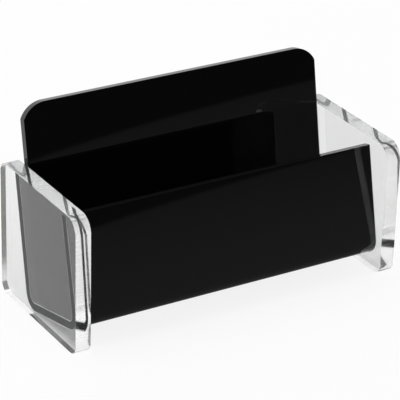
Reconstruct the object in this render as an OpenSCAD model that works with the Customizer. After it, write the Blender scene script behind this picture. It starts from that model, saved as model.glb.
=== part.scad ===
// Business card holder for a desk.
// One black acrylic sheet is bent into a tray: a low front panel, a floor and a taller rear
// panel. The tray leans back between two clear acrylic side panels and is bonded to them.
// X runs across the holder, Y from front to back and Z up. The origin lies on the table,
// at the middle of the footprint.

/* [Cards] */
// Width of the cards the tray holds
card_w = 88.9; // [80:0.1:100]
// Play at each end of the cards
card_play = 1.85; // [0.5:0.05:4]
// Room for the stack of cards, front to back, measured at the bends
pocket_depth = 24.6; // [12:0.2:36]

/* [Black sheet] */
// Thickness of the sheet
sheet_t = 2.2; // [1.5:0.1:3.5]
// Inside radius of both bends
bend_r = 2.2; // [1:0.1:5]
// Height of the front panel along the sheet, from the underside of the floor
front_panel_h = 31.9; // [20:0.1:45]
// Height of the rear panel along the sheet, from the underside of the floor
rear_panel_h = 56.8; // [46:0.1:80]
// Radius of the upper corners of the rear panel
rear_corner_r = 7.4; // [1:0.1:15]
// How much was planed off each end of the rear panel after its corners were rounded
rear_end_trim = 0.7; // [0:0.1:0.9]

/* [Lean] */
// Lean of the front panel from upright, in degrees; the floor is square to it
front_lean = 12; // [4:0.5:20]
// Lean of the rear panel from upright, in degrees
rear_lean = 10.3; // [4:0.1:20]
// Gap between the tray's lowest line, under the rear bend, and the table
ground_gap = 0.8; // [0.2:0.1:5]

/* [Clear side panels] */
// Thickness of the clear sheet
side_t = 4.5; // [3:0.1:8]
// Height of a side panel
side_h = 39.5; // [30:0.5:50]
// How far a side panel stands in front of the tray
side_front_margin = 1.8; // [0.5:0.1:8]
// How far a side panel reaches behind the tray, measured at the panel's top edge
side_back_margin = 5.5; // [1:0.1:12]
// Radius of the upper front corner
side_front_top_r = 4.5; // [1:0.1:10]
// Radius of the other three corners
side_corner_r = 3; // [1:0.1:8]

/* [Hidden] */
$fn = 96;

black_acrylic = [0.05, 0.05, 0.055];
clear_acrylic = [0.86, 0.90, 0.92, 0.4];

// The tray is as wide as the cards and their play, and the side panels lie against its ends.
tray_w = card_w + 2 * card_play;

// The tray is drawn about the axis of its rear bend, which lies this far behind the front face
// and above the underside of the floor, both measured square to the floor.
bend_outer_r = bend_r + sheet_t;
rear_bend_depth = sheet_t + pocket_depth - bend_r;

// The floor and the rear panel turn by equal amounts, one each way, from the mean of the two leans.
mean_lean = (front_lean + rear_lean) / 2;
half_flare = (front_lean - rear_lean) / 2;

// Place of the rear bend's axis: back from the tray's lower front corner, and up from the table.
rear_axis_y = rear_bend_depth * cos(front_lean) + bend_outer_r * sin(front_lean);
rear_axis_z = ground_gap + bend_outer_r;

// Where the back of the rear panel crosses the height of the side panels' top edge.
rear_back_y = rear_axis_y + bend_outer_r / cos(rear_lean) + (side_h - rear_axis_z) * tan(rear_lean);
side_depth = side_front_margin + rear_back_y + side_back_margin;
front_edge_y = -side_depth / 2;

// Cross-section of a bend before it is cut to length: a whole ring about the bend's axis.
module bend_ring() {
    difference() {
        circle(r = bend_outer_r);
        circle(r = bend_r);
    }
}

// Cross-section of the front panel, the front bend and the floor.
module front_section() {
    reach = 2 * bend_outer_r;
    translate([-rear_bend_depth, 0])
        square([sheet_t, front_panel_h - bend_outer_r]);
    translate([bend_outer_r - rear_bend_depth, 0])
        intersection() {
            bend_ring();
            translate([-reach, -reach]) square(reach);
        }
    translate([bend_outer_r - rear_bend_depth, -bend_outer_r])
        square([rear_bend_depth - bend_outer_r, sheet_t]);
}

// Rectangle on the first quadrant with its own radius at each corner, each a true arc.
module rounded_rectangle(w, h, lower_left = 0, lower_right = 0, upper_right = 0, upper_left = 0) {
    difference() {
        square([w, h]);
        corner_cut([0, 0], 0, lower_left);
        corner_cut([w, 0], 90, lower_right);
        corner_cut([w, h], 180, upper_right);
        corner_cut([0, h], 270, upper_left);
    }
}

// What a round corner takes off a square one.
module corner_cut(corner, turn, r) {
    if (r > 0)
        translate(corner) rotate(turn) difference() {
            square(r);
            translate([r, r]) circle(r = r);
        }
}

// Outline of the rear panel's flat: rounded first, then planed to width, so that each round
// corner meets its end in a slight angle.
module trimmed_plate(w, h) {
    intersection() {
        translate([-rear_end_trim, 0])
            rounded_rectangle(w + 2 * rear_end_trim, h,
                upper_right = rear_corner_r, upper_left = rear_corner_r);
        square([w, h]);
    }
}

// The floor's own direction, and all that is square to it.
module floor_frame() {
    rotate([0, 0, -half_flare]) children();
}

// The rear panel's own direction.
module rear_frame() {
    rotate([0, 0, half_flare]) children();
}

// Front panel, front bend and floor.
module front_part() {
    floor_frame()
        linear_extrude(height = tray_w, center = true)
            front_section();
}

// Rear bend: the part of the ring behind the floor and below the rear panel's flat.
module rear_bend() {
    reach = 2 * bend_outer_r;
    intersection() {
        floor_frame()
            linear_extrude(height = tray_w, center = true)
                intersection() {
                    bend_ring();
                    translate([0, -reach]) square([reach, 2 * reach]);
                }
        rear_frame()
            translate([-reach, -reach, -tray_w])
                cube([2 * reach, reach, 2 * tray_w]);
    }
}

// Flat part of the rear panel, standing on the end of the rear bend.
module rear_flat() {
    rear_frame()
        translate([bend_outer_r, 0, -tray_w / 2])
            rotate([0, -90, 0])
                linear_extrude(height = sheet_t)
                    trimmed_plate(tray_w, rear_panel_h - bend_outer_r);
}

// The black tray, leaned back about the axis of its rear bend.
module card_tray() {
    color(black_acrylic)
        translate([0, front_edge_y + side_front_margin + rear_axis_y, rear_axis_z])
            rotate([90, 0, 90])
                rotate([0, 0, -mean_lean]) {
                    front_part();
                    rear_bend();
                    rear_flat();
                }
}

// A clear side panel, with its lower face on the table and its inner face at x.
module side_panel(x) {
    color(clear_acrylic)
        translate([x, front_edge_y, 0])
            rotate([90, 0, 90])
                linear_extrude(height = side_t)
                    rounded_rectangle(side_depth, side_h,
                        lower_left = side_corner_r, lower_right = side_corner_r,
                        upper_right = side_corner_r, upper_left = side_front_top_r);
}

module left_side_panel() {
    side_panel(-tray_w / 2 - side_t);
}

module right_side_panel() {
    side_panel(tray_w / 2);
}

card_tray();
left_side_panel();
right_side_panel();
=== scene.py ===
# %% [markdown]
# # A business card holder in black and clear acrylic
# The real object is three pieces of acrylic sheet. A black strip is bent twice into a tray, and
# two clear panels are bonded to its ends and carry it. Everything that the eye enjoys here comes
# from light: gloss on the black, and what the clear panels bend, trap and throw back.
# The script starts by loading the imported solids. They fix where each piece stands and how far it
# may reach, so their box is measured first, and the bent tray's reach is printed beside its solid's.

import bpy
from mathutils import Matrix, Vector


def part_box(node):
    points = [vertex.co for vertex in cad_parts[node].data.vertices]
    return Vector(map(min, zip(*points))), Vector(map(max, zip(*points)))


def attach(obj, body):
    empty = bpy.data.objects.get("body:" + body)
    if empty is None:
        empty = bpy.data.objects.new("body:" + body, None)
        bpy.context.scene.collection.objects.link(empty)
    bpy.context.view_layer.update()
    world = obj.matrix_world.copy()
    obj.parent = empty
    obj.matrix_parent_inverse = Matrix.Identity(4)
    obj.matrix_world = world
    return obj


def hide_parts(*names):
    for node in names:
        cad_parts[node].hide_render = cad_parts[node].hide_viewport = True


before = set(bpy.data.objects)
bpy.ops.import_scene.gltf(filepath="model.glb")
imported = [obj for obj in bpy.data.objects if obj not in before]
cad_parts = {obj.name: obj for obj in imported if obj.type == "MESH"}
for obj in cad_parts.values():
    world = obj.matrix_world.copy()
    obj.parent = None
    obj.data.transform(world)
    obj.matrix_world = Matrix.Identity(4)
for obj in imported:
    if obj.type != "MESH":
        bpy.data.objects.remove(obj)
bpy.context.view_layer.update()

# %% [markdown]
# ## The camera
# A small product is mostly photographed from well back with a long lens, so that its sides stay
# nearly parallel. A camera could be set by hand until the picture looks right. Here its turn, rise,
# roll and distance were fitted to the holder's straight edges in the photo, with the sizes, and
# the script only writes down the result.

# %% Camera at the photograph's angle
import math

import bmesh
import bpy
from mathutils import Matrix, Vector, noise

MM = 0.001
tray_low, tray_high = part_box("card_tray")
left_low, left_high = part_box("left_side_panel")
right_low, right_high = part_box("right_side_panel")

CAMERA_TURN, CAMERA_RISE, CAMERA_ROLL = (math.radians(a) for a in (-31.5722, 25.8631, 1.5224))
CAMERA_DISTANCE = 597.79 * MM
# Focal length and sensor width in millimetres, and the nearest and farthest seen in metres.
LENS, SENSOR = 204.75, 36
NEAREST, FARTHEST = 0.01, 20
AIM = Vector((-13.7875 * MM, left_low.y, 37.4322 * MM))


def add_camera():
    """A long lens, turned to the holder's left and looking down on it."""
    back = Vector((
        math.sin(CAMERA_TURN) * math.cos(CAMERA_RISE),
        -math.cos(CAMERA_TURN) * math.cos(CAMERA_RISE),
        math.sin(CAMERA_RISE),
    ))
    right = Vector((math.cos(CAMERA_TURN), math.sin(CAMERA_TURN), 0))
    up = back.cross(right)
    rolled_right = math.cos(CAMERA_ROLL) * right + math.sin(CAMERA_ROLL) * up
    rolled_up = math.cos(CAMERA_ROLL) * up - math.sin(CAMERA_ROLL) * right
    data = bpy.data.cameras.new("photo_camera")
    data.sensor_width = SENSOR
    data.lens = LENS
    data.clip_start = NEAREST
    data.clip_end = FARTHEST
    camera = bpy.data.objects.new("photo_camera", data)
    turn = Matrix((rolled_right, rolled_up, back)).transposed().to_4x4()
    camera.matrix_world = Matrix.Translation(AIM + back * CAMERA_DISTANCE) @ turn
    bpy.context.scene.collection.objects.link(camera)
    bpy.context.scene.camera = camera
    return camera


camera = add_camera()
print("camera at, mm:", [round(v * 1000, 1) for v in camera.location])

# %% [markdown]
# ## Sizes of the sheet
# A bent sheet has few sizes: its thickness, one inside radius, three flats and two leans. They
# could be measured on the solids' meshes, but it is surer to write them once, as the solids were
# drawn with them. The tray's width, the panels' sizes and all places come from the solids' boxes.

# %% Sizes of the sheet and the panels
SHEET = 2.2 * MM
BEND_INSIDE = 2.2 * MM
BEND_MIDDLE = BEND_INSIDE + SHEET / 2
FRONT_HEIGHT = 31.9 * MM
REAR_HEIGHT = 56.8 * MM
POCKET_DEPTH = 24.6 * MM
FRONT_LEAN, REAR_LEAN = math.radians(12), math.radians(10.3)
REAR_CORNER = 7.4 * MM
REAR_END_TRIM = 0.7 * MM
TRAY_WIDTH = tray_high.x - tray_low.x
# How far the tray's ends reach into the clear panels, so that the bond has no air in it.
BOND = 0.02 * MM
# Radii of a panel's corners, in turn: front bottom, back bottom, back top, front top.
PANEL_CORNERS = (3 * MM, 3 * MM, 3 * MM, 4.5 * MM)
print("tray width, mm:", round(TRAY_WIDTH * 1000, 2))

# %% [markdown]
# ## Colours and nodes
# Colours are written as the hex values that a screen shows, and one function turns them to the
# linear light that the renderer reckons in. One small function adds a node, sets its values and
# links its inputs, so each material below reads as a short list. Some nodes have several inputs
# of one name, so those are called by number: a Mix node's numbers get names here, and 0, 1 and 2
# are the first, second and third input of a Math node.

# %% Colour and node helpers
FACTOR, FIRST, SECOND = 0, 2, 3
FIRST_COLOUR, SECOND_COLOUR, MIXED_COLOUR = 6, 7, 2
ACRYLIC_IOR = 1.49


def hex_colour(text):
    """sRGB hex to linear RGBA."""
    parts = [int(text[i:i + 2], 16) / 255 for i in (1, 3, 5)]
    return [c / 12.92 if c <= 0.04045 else ((c + 0.055) / 1.055) ** 2.4 for c in parts] + [1]


def add(tree, kind, inputs=None, **settings):
    """Adds a node. An input is a value, or the output socket of another node."""
    node = tree.nodes.new(kind)
    for name, value in settings.items():
        setattr(node, name, value)
    for name, value in (inputs or {}).items():
        socket = node.inputs[name]
        if isinstance(value, bpy.types.NodeSocket):
            tree.links.new(value, socket)
        else:
            socket.default_value = value
    return node


def new_material(name):
    """An empty material with its output node."""
    material = bpy.data.materials.new(name)
    material.use_nodes = True
    material.node_tree.nodes.clear()
    return material, material.node_tree, material.node_tree.nodes.new("ShaderNodeOutputMaterial")


WHITE = hex_colour("#ffffff")
print("the tray's black, linear:", [round(c, 4) for c in hex_colour("#060607")[:3]])

# %% [markdown]
# ## Fine scratches
# Acrylic is soft, so every handled sheet carries hairline scratches. They run for many
# millimetres and are a few hundredths of a millimetre wide. A noise that is squeezed along one
# direction and stretched along the other gives such lines, and it never repeats, as a scanned
# picture of scratches would. Here they are drawn 0.2 mm wide, because finer ones wouldn't show in
# the render.

# %% Scratch pattern
SCRATCH_WIDTH = 0.2 * MM
SCRATCH_FROM, SCRATCH_TO = 0.62, 0.78


def hairlines(tree, coordinates, turn, length):
    """Faint long lines, 0 to 1, turned by an angle about each of the three axes."""
    turned = add(tree, "ShaderNodeMapping", {
        "Vector": coordinates, "Rotation": turn,
        "Scale": (1 / length, 1 / SCRATCH_WIDTH, 1 / SCRATCH_WIDTH)})
    lines = add(tree, "ShaderNodeTexNoise", {
        "Vector": turned.outputs["Vector"], "Scale": 1.0, "Detail": 2.0, "Roughness": 0.6})
    return add(tree, "ShaderNodeMapRange", {
        "Value": lines.outputs["Fac"],
        "From Min": SCRATCH_FROM, "From Max": SCRATCH_TO}).outputs["Result"]


print("scratches, mm wide:", round(SCRATCH_WIDTH * 1000, 2))

# %% [markdown]
# ## Gloss black acrylic
# The tray is cast acrylic (PMMA) coloured right through, with the gloss it had when it came off
# the glass casting plates. Nearly all that shows is the reflection, so the base colour is close
# to black, the IOR is that of acrylic, 1.49, and the roughness is low. The cut edges were sawn
# and then polished: they keep faint lines across the sheet and are a little rougher, so they
# catch more light than the faces. A glossy shader laid over a matt one could make this too. One
# Principled shader is simpler, because its IOR sets how much is mirrored at each angle.

# %% Material: gloss black cast acrylic
def make_gloss_black_acrylic():
    material, tree, output = new_material("gloss_black_cast_acrylic")
    place = add(tree, "ShaderNodeTexCoord").outputs["Object"]
    cut = add(tree, "ShaderNodeAttribute", attribute_name="cut_edge").outputs["Fac"]

    scratches = hairlines(tree, place, (0.3, 0.2, 0.5), 14 * MM)
    haze = add(tree, "ShaderNodeTexNoise", {"Vector": place, "Scale": 1 / (18 * MM), "Detail": 3.0})
    face_rough = add(tree, "ShaderNodeMapRange", {
        "Value": haze.outputs["Fac"], "To Min": 0.01, "To Max": 0.03})
    worn = add(tree, "ShaderNodeMath", {
        0: scratches, 1: 0.05, 2: face_rough.outputs["Result"]}, operation="MULTIPLY_ADD")

    across = add(tree, "ShaderNodeMapping", {
        "Vector": place, "Scale": (1 / (0.5 * MM), 1 / (4 * MM), 1 / (4 * MM))})
    saw_lines = add(tree, "ShaderNodeTexNoise", {
        "Vector": across.outputs["Vector"], "Scale": 1.0, "Detail": 3.0})
    cut_rough = add(tree, "ShaderNodeMapRange", {
        "Value": saw_lines.outputs["Fac"], "To Min": 0.03, "To Max": 0.07})
    roughness = add(tree, "ShaderNodeMix", {
        FACTOR: cut, FIRST: worn.outputs[0], SECOND: cut_rough.outputs["Result"]}, data_type="FLOAT")
    colour = add(tree, "ShaderNodeMix", {
        FACTOR: cut, FIRST_COLOUR: hex_colour("#060607"), SECOND_COLOUR: hex_colour("#121213")},
        data_type="RGBA")

    casting = add(tree, "ShaderNodeTexNoise", {"Vector": place, "Scale": 1 / (9 * MM), "Detail": 1.0})
    relief = add(tree, "ShaderNodeMix", {
        FACTOR: cut, FIRST: casting.outputs["Fac"], SECOND: saw_lines.outputs["Fac"]},
        data_type="FLOAT")
    bump = add(tree, "ShaderNodeBump", {
        "Strength": 0.2, "Distance": 0.004 * MM, "Height": relief.outputs[0]})
    shader = add(tree, "ShaderNodeBsdfPrincipled", {
        "Base Color": colour.outputs[MIXED_COLOUR], "Roughness": roughness.outputs[0], "IOR": ACRYLIC_IOR,
        "Normal": bump.outputs["Normal"]})
    tree.links.new(shader.outputs[0], output.inputs["Surface"])
    return material


gloss_black_acrylic = make_gloss_black_acrylic()
print("material:", gloss_black_acrylic.name)

# %% [markdown]
# ## The bonded ends
# Solvent cement melts the two sheets into each other, and the joint has no air in it. Black and
# clear acrylic have the same IOR, so nothing is reflected there: through the clear panel the
# tray's end looks deeper black than its gloss faces do. The same black with no specular level
# gives that.

# %% Material: black acrylic under a bond
def make_bonded_black():
    material, tree, output = new_material("solvent_bonded_black_acrylic")
    place = add(tree, "ShaderNodeTexCoord").outputs["Object"]
    cement = add(tree, "ShaderNodeTexNoise", {"Vector": place, "Scale": 1 / (0.8 * MM), "Detail": 3.0})
    colour = add(tree, "ShaderNodeMix", {
        FACTOR: cement.outputs["Fac"],
        FIRST_COLOUR: hex_colour("#050506"), SECOND_COLOUR: hex_colour("#111113")}, data_type="RGBA")
    rough = add(tree, "ShaderNodeMapRange", {
        "Value": cement.outputs["Fac"], "To Min": 0.5, "To Max": 0.8})
    bump = add(tree, "ShaderNodeBump", {
        "Strength": 0.3, "Distance": 0.02 * MM, "Height": cement.outputs["Fac"]})
    shader = add(tree, "ShaderNodeBsdfPrincipled", {
        "Base Color": colour.outputs[MIXED_COLOUR], "Roughness": rough.outputs[0], "Specular IOR Level": 0.0,
        "IOR": ACRYLIC_IOR, "Normal": bump.outputs["Normal"]})
    tree.links.new(shader.outputs[0], output.inputs["Surface"])
    return material


bonded_black_acrylic = make_bonded_black()
print("material:", bonded_black_acrylic.name)

# %% [markdown]
# ## Clear acrylic
# The side panels are clear cast acrylic with polished edges. It has the same IOR, 1.49, and lets
# 92 % of the light through. A solid block of glass in Cycles blocks the lamps' shadow rays, which
# would put it in a dark box of its own, so for shadow rays alone the shader turns transparent.
# The faces are smooth. The edges keep the polishing wheel's soft, shallow waves, and pits and saw
# marks so fine that they only show as a haze here and there. Upward faces are painted a trace
# greyer, a painted shade that was matched to the photo and not derived from the real material.
# A Glass shader could do the same, but one Principled shader keeps all three acrylics set up alike.

# %% Material: clear cast acrylic
def make_clear_acrylic():
    material, tree, output = new_material("clear_cast_acrylic")
    place = add(tree, "ShaderNodeTexCoord").outputs["Object"]
    cut = add(tree, "ShaderNodeAttribute", attribute_name="cut_edge").outputs["Fac"]

    scratches = hairlines(tree, place, (0.1, 0.4, 0.9), 11 * MM)
    face_rough = add(tree, "ShaderNodeMath", {0: scratches, 1: 0.02}, operation="MULTIPLY")
    wheel = add(tree, "ShaderNodeTexNoise", {"Vector": place, "Scale": 1 / (2.5 * MM), "Detail": 2.0})
    across = add(tree, "ShaderNodeMapping", {
        "Vector": place, "Scale": (1 / (5 * MM), 1 / (0.3 * MM), 1 / (0.3 * MM))})
    saw_marks = add(tree, "ShaderNodeTexNoise", {
        "Vector": across.outputs["Vector"], "Scale": 1.0, "Detail": 2.0})
    pits = add(tree, "ShaderNodeTexNoise", {"Vector": place, "Scale": 1 / (0.03 * MM), "Detail": 1.0})
    grain = add(tree, "ShaderNodeMath", {
        0: saw_marks.outputs["Fac"], 1: 0.2, 2: pits.outputs["Fac"]}, operation="MULTIPLY_ADD")
    cut_rough = add(tree, "ShaderNodeMapRange", {
        "Value": grain.outputs[0], "From Min": 0.63, "From Max": 0.7, "To Min": 0.015, "To Max": 0.4})
    # Upward faces get a greyer base colour: a painted shade, not a colour of the acrylic.
    up = add(tree, "ShaderNodeAttribute", attribute_name="upward_painted_shade").outputs["Fac"]
    upward_shade_tint = add(tree, "ShaderNodeMix", {
        FACTOR: up, FIRST_COLOUR: hex_colour("#fdfdfd"), SECOND_COLOUR: hex_colour("#f0f1f1")},
        data_type="RGBA")
    roughness = add(tree, "ShaderNodeMix", {
        FACTOR: cut, FIRST: face_rough.outputs[0], SECOND: cut_rough.outputs[0]}, data_type="FLOAT")
    wave = add(tree, "ShaderNodeMath", {0: wheel.outputs["Fac"], 1: cut}, operation="MULTIPLY")
    bump = add(tree, "ShaderNodeBump", {
        "Strength": 0.3, "Distance": 0.02 * MM, "Height": wave.outputs[0]})
    shader = add(tree, "ShaderNodeBsdfPrincipled", {
        "Base Color": upward_shade_tint.outputs[MIXED_COLOUR], "Roughness": roughness.outputs[0], "IOR": ACRYLIC_IOR,
        "Transmission Weight": 1.0, "Normal": bump.outputs["Normal"]})
    clear = add(tree, "ShaderNodeBsdfTransparent", {"Color": hex_colour("#f5f6f6")})
    lamp_ray = add(tree, "ShaderNodeLightPath").outputs["Is Shadow Ray"]
    mixed = add(tree, "ShaderNodeMixShader", {0: lamp_ray, 1: shader.outputs[0], 2: clear.outputs[0]})
    tree.links.new(mixed.outputs[0], output.inputs["Surface"])
    return material


clear_acrylic = make_clear_acrylic()
print("material:", clear_acrylic.name)

# %% [markdown]
# ## Dried cement
# Solvent cement is thin acrylic dissolved in a solvent. Where a little of it stands outside the
# joint, it dries with fine crazing. Its pale colour is partly that crazing and partly a painted
# highlight: it paints the light line that runs along the bonded joint. It could be a cloudy
# volume, but the beads are too thin for that to tell, and a pale plain surface with a crazed
# relief is enough.

# %% Material: dried solvent cement
def make_pale_cement_highlight():
    material, tree, output = new_material("cement_with_painted_highlight")
    place = add(tree, "ShaderNodeTexCoord").outputs["Object"]
    crazing = add(tree, "ShaderNodeTexNoise", {"Vector": place, "Scale": 1 / (0.7 * MM), "Detail": 3.0})
    # The bead's pale colour is partly crazing and partly a painted highlight along the joint.
    colour = add(tree, "ShaderNodeMix", {
        FACTOR: crazing.outputs["Fac"],
        FIRST_COLOUR: hex_colour("#a9abad"), SECOND_COLOUR: hex_colour("#e6e8ea")}, data_type="RGBA")
    rough = add(tree, "ShaderNodeMapRange", {
        "Value": crazing.outputs["Fac"], "To Min": 0.2, "To Max": 0.5})
    bump = add(tree, "ShaderNodeBump", {
        "Strength": 0.4, "Distance": 0.03 * MM, "Height": crazing.outputs["Fac"]})
    shader = add(tree, "ShaderNodeBsdfPrincipled", {
        "Base Color": colour.outputs[MIXED_COLOUR], "Roughness": rough.outputs[0], "IOR": ACRYLIC_IOR,
        "Normal": bump.outputs["Normal"]})
    tree.links.new(shader.outputs[0], output.inputs["Surface"])
    return material


pale_cement_highlight = make_pale_cement_highlight()
print("material:", pale_cement_highlight.name)

# %% [markdown]
# ## A flat blank, as it is cut before bending
# Both kinds of piece begin as flat sheet with a cut outline. Its edges are eased: a hand-held
# scraper takes off the sharp arris, 0.1 mm of it on the clear panels and less on the black sheet,
# whose lips show no light line in the photo. The blank is an outline with true round corners,
# extruded to the sheet's thickness, and then bevelled along its rims. Faces that were cut, not
# cast, are marked in an attribute, so that the material can give them their own finish.

# %% Outline and blank
ROUND_STEPS = 20
EASE_STEPS = 3
BLACK_EASE, CLEAR_EASE = 0.04 * MM, 0.1 * MM
SAME_HEIGHT = 1e-9
FACING = 0.999


def rounded_outline(width, height, radii):
    """Points round a rectangle, anticlockwise from its lower left, with a radius for each corner."""
    corners = ((0, 0, 1, 1, 180), (width, 0, -1, 1, 270),
               (width, height, -1, -1, 0), (0, height, 1, -1, 90))
    points = []
    for (u, v, to_right, to_top, start), r in zip(corners, radii):
        for i in range(ROUND_STEPS + 1):
            a = math.radians(start + 90 * i / ROUND_STEPS)
            points.append((u + to_right * r + r * math.cos(a), v + to_top * r + r * math.sin(a)))
    return points


def cut_blank(points, thickness, ease, eased=None):
    """A flat blank in XY, its middle plane at z = 0, with eased rims and its cut faces marked."""
    bm = bmesh.new()
    low = [bm.verts.new((u, v, -thickness / 2)) for u, v in points]
    high = [bm.verts.new((u, v, thickness / 2)) for u, v in points]
    bm.faces.new(low[::-1])
    bm.faces.new(high)
    for i in range(len(points)):
        j = (i + 1) % len(points)
        bm.faces.new((low[i], low[j], high[j], high[i]))
    rims = [e for e in bm.edges
            if abs(e.verts[0].co.z - e.verts[1].co.z) < SAME_HEIGHT and (eased is None or eased(e))]
    bmesh.ops.bevel(bm, geom=rims, offset=ease, segments=EASE_STEPS, profile=0.5, affect="EDGES",
                    clamp_overlap=True)
    bmesh.ops.recalc_face_normals(bm, faces=bm.faces)
    mark = bm.faces.layers.float.new("cut_edge")
    for face in bm.faces:
        face[mark] = 0.0 if abs(face.normal.z) > FACING else 1.0
        face.smooth = True
    return bm


def as_object(bm, name):
    """A new object at the origin from a bmesh."""
    mesh = bpy.data.meshes.new(name)
    bm.to_mesh(mesh)
    bm.free()
    thing = bpy.data.objects.new(name, mesh)
    bpy.context.scene.collection.objects.link(thing)
    return thing


print("eased by, mm:", BLACK_EASE * 1000, CLEAR_EASE * 1000)

# %% [markdown]
# ## Plain meshes and flat faces
# A piece that modifiers shape has to end as a plain mesh, so one helper takes the finished shape
# and drops the blank it came from. The other sets the shading normals. A face that meets narrow
# eased rims would be shaded as if it bulged, and a bulge of a tenth of a degree already moves what
# the gloss mirrors. Blender's Weighted Normal modifier can leave the big faces a little tilted, so
# the normals are worked out face by face.

# %% Finished mesh and its normals
ONE_SURFACE = math.cos(math.radians(50))
SLIVER = 0.2


def applied(thing, name):
    """A plain mesh object from a thing and its modifiers."""
    view = bpy.context.evaluated_depsgraph_get()
    mesh = bpy.data.meshes.new_from_object(thing.evaluated_get(view), preserve_all_data_layers=True,
                                           depsgraph=view)
    mesh.name = name
    finished = bpy.data.objects.new(name, mesh)
    bpy.context.scene.collection.objects.link(finished)
    bpy.data.objects.remove(thing)
    return finished


def true_normals(mesh, settled=lambda normal: normal):
    """Shading normals that leave every large face truly flat and round off only bends and rims.

    Faces that turn sharply away don't count, nor do slivers beside a much larger face.
    """
    around = [[] for _ in mesh.vertices]
    for face in mesh.polygons:
        for v in face.vertices:
            around[v].append(face)
    normals = []
    for face in mesh.polygons:
        for v in face.vertices:
            near = [g for g in around[v] if g.normal.dot(face.normal) > ONE_SURFACE]
            largest = max(g.area for g in near)
            mean = sum((g.normal * g.area for g in near if g.area > SLIVER * largest), Vector())
            normals.append(settled(mean.normalized()))
    mesh.normals_split_custom_set(normals)


print("faces share a normal up to, degrees:", round(math.degrees(math.acos(ONE_SURFACE))))

# %% [markdown]
# ## The tray, bent from its blank
# A real tray is made from one blank: it is laid over a hot wire until the line is soft, folded
# round a former and held until it sets, once for each bend. The script does the same. It cuts a
# flat blank, scores it finely where the bends will be, and a Geometry Nodes tree lays it along a
# path. The path is four corners with the two in the middle rounded to the bend's radius, and each
# point of the blank goes to the place on the path that its distance from the lip gives.

# %% Where the flats and bends lie on the tray's blank
FRONT_BEND_TURN = math.pi / 2
REAR_BEND_TURN = math.pi / 2 + FRONT_LEAN - REAR_LEAN
BEND_OUTSIDE = BEND_INSIDE + SHEET
front_flat = FRONT_HEIGHT - BEND_OUTSIDE
floor_flat = POCKET_DEPTH - 2 * BEND_INSIDE
rear_flat = REAR_HEIGHT - BEND_OUTSIDE

# Distances along the middle of the sheet, from the front lip.
front_bend_at = front_flat
floor_at = front_bend_at + BEND_MIDDLE * FRONT_BEND_TURN
rear_bend_at = floor_at + floor_flat
rear_at = rear_bend_at + BEND_MIDDLE * REAR_BEND_TURN
BLANK_LENGTH = rear_at + rear_flat
print("tray blank, mm:", round(TRAY_WIDTH * 1000, 1), "x", round(BLANK_LENGTH * 1000, 1))

# %% Outline of the tray's blank
CORNER_STEPS = 16
PAST_PANEL = 0.2 * MM
NEAR = 1e-7

half_width = TRAY_WIDTH / 2 + BOND
# The ends are bonded up to here, a little past the top edge of the clear panels.
bond_top = rear_at + (left_high.z - tray_low.z + PAST_PANEL) / math.cos(REAR_LEAN) - BEND_OUTSIDE


def tray_outline():
    """The blank's outline. Its top corners were rounded before the ends were planed to width."""
    corner_x = half_width + REAR_END_TRIM - REAR_CORNER
    corner_y = BLANK_LENGTH - REAR_CORNER
    first = math.acos((REAR_CORNER - REAR_END_TRIM) / REAR_CORNER)
    turns = [first + (math.pi / 2 - first) * i / CORNER_STEPS for i in range(CORNER_STEPS + 1)]
    right = [(corner_x + REAR_CORNER * math.cos(a), corner_y + REAR_CORNER * math.sin(a)) for a in turns]
    left = [(-x, y) for x, y in reversed(right)]
    return ([(-half_width, 0), (half_width, 0), (half_width, bond_top)] + right + left
            + [(-half_width, bond_top)])


def free_rim(edge):
    """True for a rim that isn't bonded: both lips, the round corners and the ends above the panels."""
    a, b = (v.co for v in edge.verts)
    return min(a.y, b.y) > bond_top - NEAR or max(a.y, b.y) < NEAR


print("bonded up to, mm along the blank:", round(bond_top * 1000, 1))

# %% Blank of the tray, scored at its bends
BEND_CUTS = 24
ON_THE_CUT = 1e-8
ON_THE_END = 1e-6
SIDEWAYS = 0.9


def score_bends(bm):
    """Cuts the blank across at both bends, finely enough to bend smoothly."""
    for start, turn in ((front_bend_at, FRONT_BEND_TURN), (rear_bend_at, REAR_BEND_TURN)):
        for i in range(BEND_CUTS + 1):
            y = start + BEND_MIDDLE * turn * i / BEND_CUTS
            bmesh.ops.bisect_plane(bm, geom=bm.verts[:] + bm.edges[:] + bm.faces[:],
                                   plane_co=(0, y, 0), plane_no=(0, 1, 0), dist=ON_THE_CUT)


def mark_bonded_ends(bm):
    """Marks the end faces that lie against the clear panels, for their own finish."""
    bonded = bm.faces.layers.float.new("bonded")
    for face in bm.faces:
        middle = face.calc_center_median()
        faces_panel = abs(face.normal.x) > SIDEWAYS and abs(middle.x) > half_width - ON_THE_END
        face[bonded] = float(faces_panel and middle.y < bond_top)


bm = cut_blank(tray_outline(), SHEET, BLACK_EASE, free_rim)
score_bends(bm)
mark_bonded_ends(bm)
tray_blank = as_object(bm, "tray_blank")
print("blank's faces:", len(tray_blank.data.polygons))

# %% [markdown]
# ## The path that the sheet follows
# The middle of the bent sheet is a path of three straight lines with two round corners. It could
# be drawn by hand, but it is worked out from the flats and the leans, so that it can't disagree
# with them. Each sharp corner lies past the end of its flat by a setback, as on a sheet-metal
# drawing, and rounding the corner takes that setback away again.

# %% Path corners
def side_view(angle):
    """Direction in the YZ plane, as an angle above the way back."""
    return Vector((0, math.cos(angle), math.sin(angle)))


DOWN_FRONT = side_view(-math.pi / 2 - FRONT_LEAN)
ALONG_FLOOR = side_view(-FRONT_LEAN)
UP_REAR = side_view(math.pi / 2 - REAR_LEAN)


def setback(turn):
    """Distance from a sharp corner of the path to where its bend starts."""
    return BEND_MIDDLE * math.tan(turn / 2)


front_corner = Vector((0, 0, 0))
along_floor = setback(FRONT_BEND_TURN) + floor_flat + setback(REAR_BEND_TURN)
rear_corner = front_corner + ALONG_FLOOR * along_floor
front_lip = front_corner - DOWN_FRONT * (front_flat + setback(FRONT_BEND_TURN))
rear_lip = rear_corner + UP_REAR * (rear_flat + setback(REAR_BEND_TURN))

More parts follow.
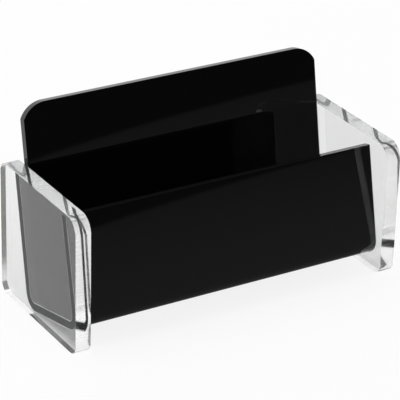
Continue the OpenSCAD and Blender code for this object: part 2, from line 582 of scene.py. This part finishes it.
# The path is measured from its front corner, so it is moved to where the solid is. In height it
# is hung from the rear lip, because that corner of the solid is exact, and its bends are faceted.
OFF_FLOOR = side_view(math.pi / 2 - FRONT_LEAN)
front_axis = front_corner + ALONG_FLOOR * setback(FRONT_BEND_TURN) + OFF_FLOOR * BEND_MIDDLE
lip_top = rear_lip.z + SHEET / 2 * math.sin(REAR_LEAN)
shift = Vector((0, tray_low.y - (front_axis.y - BEND_OUTSIDE), tray_high.z - lip_top))
path = [p + shift for p in (front_lip, front_corner, rear_corner, rear_lip)]
print("path corners, mm:", [[round(v * 1000, 2) for v in p[1:]] for p in path])

# %% [markdown]
# ## Geometry Nodes: lay the blank along the path
# A Simple Deform modifier could bend a sheet too, one bend at a time, each set up by hand. This
# tree does it in one go. It draws the path from its four corners and rounds the middle two. A
# point's distance from the lip, as a share of the blank's length, is its place on the path. Its
# height above the middle of the sheet goes square to the path, so the sheet keeps its thickness
# all the way round.

# %% The bending tree
IS_BONDED = 0.5


def make_bending_tree():
    """Lays a flat blank along a path of three lines and two round corners."""
    tree = bpy.data.node_groups.new("bend_sheet_along_path", "GeometryNodeTree")
    socket = tree.interface.new_socket
    socket("Geometry", in_out="OUTPUT", socket_type="NodeSocketGeometry")
    socket("Blank", in_out="INPUT", socket_type="NodeSocketGeometry")
    for name in ("Front lip", "Front corner", "Rear corner", "Rear lip"):
        socket(name, in_out="INPUT", socket_type="NodeSocketVector")
    for name in ("Bend radius", "Blank length"):
        socket(name, in_out="INPUT", socket_type="NodeSocketFloat")
    socket("Bend cuts", in_out="INPUT", socket_type="NodeSocketInt")
    for name in ("Finish", "Bonded finish"):
        socket(name, in_out="INPUT", socket_type="NodeSocketMaterial")
    given = add(tree, "NodeGroupInput").outputs

    corners = add(tree, "GeometryNodeCurvePrimitiveQuadrilateral", {
        "Point 1": given["Front lip"], "Point 2": given["Front corner"],
        "Point 3": given["Rear corner"], "Point 4": given["Rear lip"]}, mode="POINTS")
    opened = add(tree, "GeometryNodeSetSplineCyclic", {
        "Geometry": corners.outputs["Curve"], "Cyclic": False})
    bent_path = add(tree, "GeometryNodeFilletCurve", {
        "Curve": opened.outputs[0], "Radius": given["Bend radius"], "Count": given["Bend cuts"],
        "Limit Radius": False}, mode="POLY")

    place = add(tree, "ShaderNodeSeparateXYZ", {0: add(tree, "GeometryNodeInputPosition").outputs[0]}).outputs
    share = add(tree, "ShaderNodeMath", {0: place["Y"], 1: given["Blank length"]}, operation="DIVIDE")
    spot = add(tree, "GeometryNodeSampleCurve", {
        "Curves": bent_path.outputs[0], "Factor": share.outputs[0]}, mode="FACTOR")
    across = add(tree, "ShaderNodeCombineXYZ", {"X": 1.0, "Y": 0.0, "Z": 0.0})
    inward = add(tree, "ShaderNodeVectorMath", {
        0: across.outputs[0], 1: spot.outputs["Tangent"]}, operation="CROSS_PRODUCT")
    unit = add(tree, "ShaderNodeVectorMath", {0: inward.outputs[0]}, operation="NORMALIZE")
    offset = add(tree, "ShaderNodeVectorMath", {
        0: unit.outputs[0], "Scale": place["Z"]}, operation="SCALE")
    sideways = add(tree, "ShaderNodeVectorMath", {
        0: across.outputs[0], "Scale": place["X"]}, operation="SCALE")
    on_path = add(tree, "ShaderNodeVectorMath", {
        0: spot.outputs["Position"], 1: offset.outputs[0]}, operation="ADD")
    target = add(tree, "ShaderNodeVectorMath", {
        0: on_path.outputs[0], 1: sideways.outputs[0]}, operation="ADD")

    bent = add(tree, "GeometryNodeSetPosition", {
        "Geometry": given["Blank"], "Position": target.outputs[0]})
    real = add(tree, "GeometryNodeRealizeInstances", {"Geometry": bent.outputs[0]})
    finished = add(tree, "GeometryNodeSetMaterial", {
        "Geometry": real.outputs[0], "Material": given["Finish"]})
    is_bonded = add(tree, "GeometryNodeInputNamedAttribute", {"Name": "bonded"}, data_type="FLOAT")
    where = add(tree, "FunctionNodeCompare", {
        0: is_bonded.outputs["Attribute"], 1: IS_BONDED}, data_type="FLOAT", operation="GREATER_THAN")
    both = add(tree, "GeometryNodeSetMaterial", {
        "Geometry": finished.outputs[0], "Selection": where.outputs[0],
        "Material": given["Bonded finish"]})
    add(tree, "NodeGroupOutput", {"Geometry": both.outputs[0]})
    return tree


def use_tree(thing, tree, values):
    """Puts a tree on a thing, each input set by its socket's identifier."""
    modifier = thing.modifiers.new(tree.name, "NODES")
    modifier.node_group = tree
    for item in tree.interface.items_tree:
        if item.item_type == "SOCKET" and item.in_out == "INPUT" and item.name in values:
            modifier[item.identifier] = values[item.name]


bending_tree = make_bending_tree()
print("tree:", bending_tree.name, "nodes:", len(bending_tree.nodes))

# %% Bend the tray
path_values = {
    "Front lip": path[0], "Front corner": path[1], "Rear corner": path[2], "Rear lip": path[3],
    "Bend radius": BEND_MIDDLE, "Blank length": BLANK_LENGTH, "Bend cuts": BEND_CUTS}
use_tree(tray_blank, bending_tree, dict(path_values, **{
    "Finish": gloss_black_acrylic, "Bonded finish": bonded_black_acrylic}))
tray = applied(tray_blank, "bent_black_tray")
for axis, low, high in (("y", tray_low.y, tray_high.y), ("z", tray_low.z, tray_high.z)):
    reach = [getattr(v.co, axis) for v in tray.data.vertices]
    print("tray", axis, "mm:", round(min(reach) * 1000, 2), round(max(reach) * 1000, 2),
          "solid:", round(low * 1000, 2), round(high * 1000, 2))

# %% [markdown]
# ## What the rear panel mirrors
# A long flat gloss face shows any small turn as a shift of what it mirrors. With true normals the
# table's edge sat too high in the rear panel. Its normals are therefore turned back by a fitted
# angle, and its shape is left alone. The cause isn't known: the real sheet may be bowed, the lean
# is rounded to 0.1 degrees, and the table's outline is a guess.

# %% Normals of the tray
REAR_SET_BACK = math.radians(0.13)
ALONG_REAR_NORMAL = 0.9999
REAR_NORMAL = UP_REAR.cross(Vector((1, 0, 0)))


def as_settled(normal):
    """Turns a normal of the rear flat, and leaves the others."""
    on_rear = abs(normal.dot(REAR_NORMAL)) > ALONG_REAR_NORMAL
    return Matrix.Rotation(-REAR_SET_BACK, 3, "X") @ normal if on_rear else normal


true_normals(tray.data, as_settled)
print("tray faces:", len(tray.data.polygons))

# %% [markdown]
# ## Beads of cement
# Solvent cement is let into the joint from a needle and runs along it by itself. A little stays
# in the corner between the sheets as a thin uneven bead, and it dries pale. Through the clear
# panel it shows as a light line along the tray's dark end, which is partly a painted highlight
# in the bead's pale colour. The beads are laid along the flat blank too, and bent with the same
# tree, so they follow the tray's corners all the way.

# %% Beads along the tray's ends
BEAD_STEPS = 270
BEAD_START = 0.6 * MM
BEAD_SHORTER = 1.5 * MM
BEAD_ON_FLOOR, BEAD_ON_WALLS = 0.26, 0.1
POOL_PAST_FLOOR = 1 * MM
LONG_SWELL, SHORT_SWELL = 6 * MM, 1.5 * MM
UNEVENNESS = 0.6
# A bead's section, in shares of its reach: a corner filled with a hollow face.
BEAD_SECTION = ((0, 0), (1, 0), (0.45, 0.2), (0.2, 0.45), (0, 1))


def bead_reach(y, side, seed):
    """How far a bead reaches from its corner. More cement pools on the floor than on the walls."""
    run = (noise.noise(Vector((y / LONG_SWELL, seed, side)))
           + 0.5 * noise.noise(Vector((y / SHORT_SWELL, side, seed))))
    on_floor = floor_at - POOL_PAST_FLOOR < y < rear_bend_at + POOL_PAST_FLOOR
    return (BEAD_ON_FLOOR if on_floor else BEAD_ON_WALLS) * (1 + UNEVENNESS * run) * MM


def lay_beads(name, side):
    """Two beads at one end of the tray, on the inside and the outside of the sheet."""
    bm = bmesh.new()
    corner_x = side * (TRAY_WIDTH / 2 + BOND / 2)
    for face, seed in ((1, 3.1), (-1, 8.4)):
        corner_z = face * (SHEET / 2 - BOND / 2)
        rings = []
        for i in range(BEAD_STEPS + 1):
            y = BEAD_START + (bond_top - BEAD_SHORTER) * i / BEAD_STEPS
            reach = bead_reach(y, side, seed)
            rings.append([bm.verts.new((corner_x - side * u * reach, y, corner_z + face * v * reach))
                          for u, v in BEAD_SECTION])
        for low, high in zip(rings, rings[1:]):
            for i in range(len(low)):
                j = (i + 1) % len(low)
                bm.faces.new((low[i], low[j], high[j], high[i]))
        bm.faces.new(rings[0])
        bm.faces.new(rings[-1][::-1])
    bmesh.ops.recalc_face_normals(bm, faces=bm.faces)
    beads = as_object(bm, name + "_straight")
    use_tree(beads, bending_tree, dict(path_values, **{
        "Finish": pale_cement_highlight, "Bonded finish": pale_cement_highlight}))
    return applied(beads, name)


left_beads = lay_beads("left_cement_beads", -1)
right_beads = lay_beads("right_cement_beads", 1)
print("bead faces:", len(left_beads.data.polygons), len(right_beads.data.polygons))

# %% [markdown]
# ## The clear side panels
# Each panel is a flat blank with four round corners, so it needs no bending, only standing up. A
# box with a Bevel modifier would round all its edges alike, and these corners aren't all alike.
# It has to be one closed solid with its faces outwards, or the light wouldn't bend through it as
# through real acrylic. How far each face looks upwards is kept in an attribute, and by it the
# material paints a grey shade on the upward faces.

# %% Side panels
def stand_up_panel(name, low, high):
    """A clear panel that fills the box of its solid."""
    depth, height = high.y - low.y, high.z - low.z
    bm = cut_blank(rounded_outline(depth, height, PANEL_CORNERS), high.x - low.x, CLEAR_EASE)
    for v in bm.verts:
        v.co = Vector(((low.x + high.x) / 2 + v.co.z, low.y + v.co.x, low.z + v.co.y))
    bm.normal_update()
    # How far each face looks upwards, for the painted shade on the panel's upward faces.
    upward_shade_mark = bm.faces.layers.float.new("upward_painted_shade")
    for face in bm.faces:
        face[upward_shade_mark] = max(0.0, face.normal.z)
    panel = as_object(bm, name)
    true_normals(panel.data)
    panel.data.materials.append(clear_acrylic)
    print(name, "faces", len(panel.data.polygons), "mm",
          [round(v * 1000, 2) for v in (high.x - low.x, depth, height)])
    return panel


left_panel = stand_up_panel("left_clear_panel", left_low, left_high)
right_panel = stand_up_panel("right_clear_panel", right_low, right_high)

# %% [markdown]
# ## Tying the pieces to the part
# Nothing on the holder moves, so every piece rides on its one body. The tray and the panels
# take the place of their plain solids, which are hidden. The beads are small extras with no solid
# of their own.

# %% Tie the pieces to the part
for piece, node, finish in ((tray, "card_tray", "black_acrylic"),
                            (left_panel, "left_side_panel", "clear_acrylic"),
                            (right_panel, "right_side_panel", "clear_acrylic")):
    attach(piece, "root")
    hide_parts(node)
for beads in (left_beads, right_beads):
    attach(beads, "root")

# %% [markdown]
# ## The floor
# The background is white and yet the black faces stay black, so what they mirror must have been
# dark. One plain white floor can't give both. A Light Path node tells which kind of ray asks, and
# the floor answers each kind with a level of its own, where 1 is white and none is above it. The
# camera sees white. Rays off the gloss see pale paper behind, and in front a dark table with a
# round edge. Rays through the clear panels see white that falls off in front of the holder and to
# its right. A part of each level is lit, not glowing, so the floor takes the holder's soft shadow.
# The levels and the table's outline were matched to this one photo, not measured in a room.

# %% Levels of the floor
WHITE_LEVEL = 1.0
FLOOR_HALF, FLOOR_UNDER = 4.0, 0.05 * MM

PAPER_EDGE, PAPER_SOFT, PAPER_IN_GLOSS = -12 * MM, 1 * MM, 0.87
TABLE_MIDDLE, TABLE_RADIUS, TABLE_SOFT = (396 * MM, 74 * MM, 0), 500 * MM, 6 * MM
TABLE_FAR, TABLE_NEAR = -400 * MM, -80 * MM
TABLE_FAR_LEVEL, TABLE_NEAR_LEVEL, ROOM_LEVEL = 0.14, 0.23, 0.04

FRONT_DARK_AT, FRONT_WHITE_AT, FRONT_DARK = -150 * MM, -71.5 * MM, 0.18
RIGHT_DARK_AT, RIGHT_WHITE_AT, RIGHT_DARK, RIGHT_SLANT = -99 * MM, -86 * MM, 0.15, -1.2
DARKEST_IN_CLEAR = 0.17

GLOW_TO_CAMERA, GLOW_IN_CLEAR, GLOW_IN_GLOSS = 0.86, 0.05, 0.5
print("levels: white", WHITE_LEVEL, "paper in the gloss", PAPER_IN_GLOSS, "room", ROOM_LEVEL)

# %% The floor as the gloss and the clear panels see it
def floor_in_gloss(tree, place, y):
    """Pale paper behind, and in front of it a dark table with a round edge in a darker room."""
    off = add(tree, "ShaderNodeVectorMath", {0: place, 1: TABLE_MIDDLE}, operation="DISTANCE")
    table = add(tree, "ShaderNodeMapRange", {
        "Value": y, "From Min": TABLE_FAR, "From Max": TABLE_NEAR,
        "To Min": TABLE_FAR_LEVEL, "To Max": TABLE_NEAR_LEVEL})
    on_table = add(tree, "ShaderNodeMapRange", {
        "Value": off.outputs["Value"],
        "From Min": TABLE_RADIUS + TABLE_SOFT, "From Max": TABLE_RADIUS - TABLE_SOFT})
    front = add(tree, "ShaderNodeMix", {
        FACTOR: on_table.outputs[0], FIRST: ROOM_LEVEL, SECOND: table.outputs[0]}, data_type="FLOAT")
    on_paper = add(tree, "ShaderNodeMapRange", {
        "Value": y, "From Min": PAPER_EDGE - PAPER_SOFT, "From Max": PAPER_EDGE + PAPER_SOFT})
    return add(tree, "ShaderNodeMix", {
        FACTOR: on_paper.outputs[0], FIRST: front.outputs[0], SECOND: PAPER_IN_GLOSS},
        data_type="FLOAT").outputs[0]


def floor_in_clear(tree, x, y):
    """White that falls off in front of the holder and to its right."""
    ahead = add(tree, "ShaderNodeMapRange", {
        "Value": y, "From Min": FRONT_DARK_AT, "From Max": FRONT_WHITE_AT,
        "To Min": FRONT_DARK, "To Max": WHITE_LEVEL})
    slanted = add(tree, "ShaderNodeMath", {0: x, 1: RIGHT_SLANT, 2: y}, operation="MULTIPLY_ADD")
    right = add(tree, "ShaderNodeMapRange", {
        "Value": slanted.outputs[0], "From Min": RIGHT_DARK_AT, "From Max": RIGHT_WHITE_AT,
        "To Min": RIGHT_DARK, "To Max": WHITE_LEVEL})
    both = add(tree, "ShaderNodeMath", {0: ahead.outputs[0], 1: right.outputs[0]}, operation="MULTIPLY")
    return add(tree, "ShaderNodeMath", {0: both.outputs[0], 1: DARKEST_IN_CLEAR},
               operation="MAXIMUM").outputs[0]


print("table's round edge, mm:", round(TABLE_RADIUS * 1000))

# %% Material: white paper that answers each kind of ray
def by_ray(tree, rays, in_gloss, in_clear, to_camera):
    """Picks a value for the kind of ray that asks."""
    through = add(tree, "ShaderNodeMix", {
        FACTOR: rays["Is Transmission Ray"], FIRST: in_gloss, SECOND: in_clear}, data_type="FLOAT")
    return add(tree, "ShaderNodeMix", {
        FACTOR: rays["Is Camera Ray"], FIRST: through.outputs[0], SECOND: to_camera},
        data_type="FLOAT").outputs[0]


def make_paper():
    material, tree, output = new_material("white_paper_floor")
    rays = add(tree, "ShaderNodeLightPath").outputs
    place = add(tree, "ShaderNodeTexCoord").outputs["Object"]
    x, y = add(tree, "ShaderNodeSeparateXYZ", {0: place}).outputs[:2]
    level = by_ray(tree, rays, floor_in_gloss(tree, place, y), floor_in_clear(tree, x, y), WHITE_LEVEL)
    share = by_ray(tree, rays, GLOW_IN_GLOSS, GLOW_IN_CLEAR, GLOW_TO_CAMERA)

    # What doesn't glow is left to the light that falls on the floor, and so to the shadow.
    glow = add(tree, "ShaderNodeMath", {0: level, 1: share}, operation="MULTIPLY")
    lit = add(tree, "ShaderNodeMath", {0: level, 1: glow.outputs[0]}, operation="SUBTRACT").outputs[0]
    grey = add(tree, "ShaderNodeCombineColor", {0: lit, 1: lit, 2: lit})
    shaded = add(tree, "ShaderNodeBsdfDiffuse", {"Color": grey.outputs[0]})
    glowing = add(tree, "ShaderNodeEmission", {"Color": WHITE, "Strength": glow.outputs[0]})
    seen = add(tree, "ShaderNodeAddShader", {0: shaded.outputs[0], 1: glowing.outputs[0]})

    paper = add(tree, "ShaderNodeBsdfDiffuse", {"Color": hex_colour("#e7e7e7")})
    asked = add(tree, "ShaderNodeMath", {
        0: rays["Is Camera Ray"], 1: rays["Is Glossy Ray"]}, operation="MAXIMUM")
    asked = add(tree, "ShaderNodeMath", {
        0: asked.outputs[0], 1: rays["Is Transmission Ray"]}, operation="MAXIMUM")
    mixed = add(tree, "ShaderNodeMixShader", {
        0: asked.outputs[0], 1: paper.outputs[0], 2: seen.outputs[0]})
    tree.links.new(mixed.outputs[0], output.inputs["Surface"])
    return material


white_paper = make_paper()
print("material:", white_paper.name)

# %% Floor
def make_floor():
    """A wide square just under the holder."""
    bm = bmesh.new()
    around = ((-1, -1), (1, -1), (1, 1), (-1, 1))
    bm.faces.new([bm.verts.new((x * FLOOR_HALF, y * FLOOR_HALF, -FLOOR_UNDER)) for x, y in around])
    floor = as_object(bm, "floor")
    floor.data.materials.append(white_paper)
    return floor


floor = make_floor()
print("floor:", floor.name)

# %% [markdown]
# ## The world
# The world does what the walls of a room do. The camera sees white, and so do the rays through
# the clear panels. Matt surfaces get an even soft light. The gloss sees a room that is white
# behind, dark in front and dim overhead, to keep the black faces black. A picture of a studio
# could do this too, but two fades on the ray's direction keep every level in plain sight.

# %% World: white, with a dark front in the gloss
SOFT_LIGHT = 0.55
FRONT_WAY, BACK_WAY, FRONT_LEVEL = -0.3, 0.333, 0.05
CEILING_LOW, CEILING_HIGH, CEILING_LEVEL = 0.3, 0.8, 0.25


def make_world():
    world = bpy.data.worlds.new("studio")
    world.use_nodes = True
    tree = world.node_tree
    tree.nodes.clear()
    rays = add(tree, "ShaderNodeLightPath").outputs
    direction = add(tree, "ShaderNodeTexCoord").outputs["Generated"]
    way = add(tree, "ShaderNodeSeparateXYZ", {0: direction}).outputs
    backdrop = add(tree, "ShaderNodeMapRange", {
        "Value": way["Y"], "From Min": FRONT_WAY, "From Max": BACK_WAY,
        "To Min": FRONT_LEVEL, "To Max": WHITE_LEVEL})
    ceiling = add(tree, "ShaderNodeMapRange", {
        "Value": way["Z"], "From Min": CEILING_LOW, "From Max": CEILING_HIGH,
        "To Min": WHITE_LEVEL, "To Max": CEILING_LEVEL})
    in_gloss = add(tree, "ShaderNodeMath", {
        0: backdrop.outputs[0], 1: ceiling.outputs[0]}, operation="MULTIPLY")
    level = add(tree, "ShaderNodeMix", {
        FACTOR: rays["Is Transmission Ray"], FIRST: in_gloss.outputs[0], SECOND: WHITE_LEVEL},
        data_type="FLOAT")

    mirrored = add(tree, "ShaderNodeBackground", {"Color": WHITE, "Strength": level.outputs[0]})
    soft = add(tree, "ShaderNodeBackground", {"Color": WHITE, "Strength": SOFT_LIGHT})
    white = add(tree, "ShaderNodeBackground", {"Color": WHITE, "Strength": WHITE_LEVEL})
    sees = add(tree, "ShaderNodeMath", {
        0: rays["Is Glossy Ray"], 1: rays["Is Transmission Ray"]}, operation="MAXIMUM")
    first = add(tree, "ShaderNodeMixShader", {
        0: sees.outputs[0], 1: soft.outputs[0], 2: mirrored.outputs[0]})
    second = add(tree, "ShaderNodeMixShader", {
        0: rays["Is Camera Ray"], 1: first.outputs[0], 2: white.outputs[0]})
    output = add(tree, "ShaderNodeOutputWorld")
    tree.links.new(second.outputs[0], output.inputs["Surface"])
    return world


bpy.context.scene.world = make_world()
print("world:", bpy.context.scene.world.name)

# %% [markdown]
# ## The softbox
# One large softbox overhead and a little behind adds to the soft light. A small lamp would draw
# hard shadows and bright spots, and this look has neither. Its power is low, because the world
# gives light too.

# %% Softbox overhead
SOFTBOX_PLACE = Vector((-0.15, 0.25, 0.9))
SOFTBOX_SIDE = 0.8
SOFTBOX_WATTS = 4.0


def add_softbox():
    """A square area lamp that looks at the middle of the holder's footprint."""
    data = bpy.data.lights.new("overhead_softbox", "AREA")
    data.shape = "RECTANGLE"
    data.size = SOFTBOX_SIDE
    data.size_y = SOFTBOX_SIDE
    data.energy = SOFTBOX_WATTS
    lamp = bpy.data.objects.new("overhead_softbox", data)
    lamp.location = SOFTBOX_PLACE
    lamp.rotation_euler = (-SOFTBOX_PLACE).to_track_quat("-Z", "Y").to_euler()
    bpy.context.scene.collection.objects.link(lamp)


add_softbox()

# %% [markdown]
# ## Colours as written, and enough bounces
# The Standard view shows a colour as its hex value says, without a film's curve. Light that
# enters a clear panel is thrown back by its faces many times before it leaves. A path that runs
# out of bounces ends in black, so more of them are allowed than Cycles sets by itself.

# %% View settings and light bounces
scene = bpy.context.scene
scene.view_settings.view_transform = "Standard"
scene.cycles.max_bounces = 32
scene.cycles.glossy_bounces = 24
scene.cycles.transmission_bounces = 24
scene.cycles.transparent_max_bounces = 16
print("bounces:", scene.cycles.max_bounces)
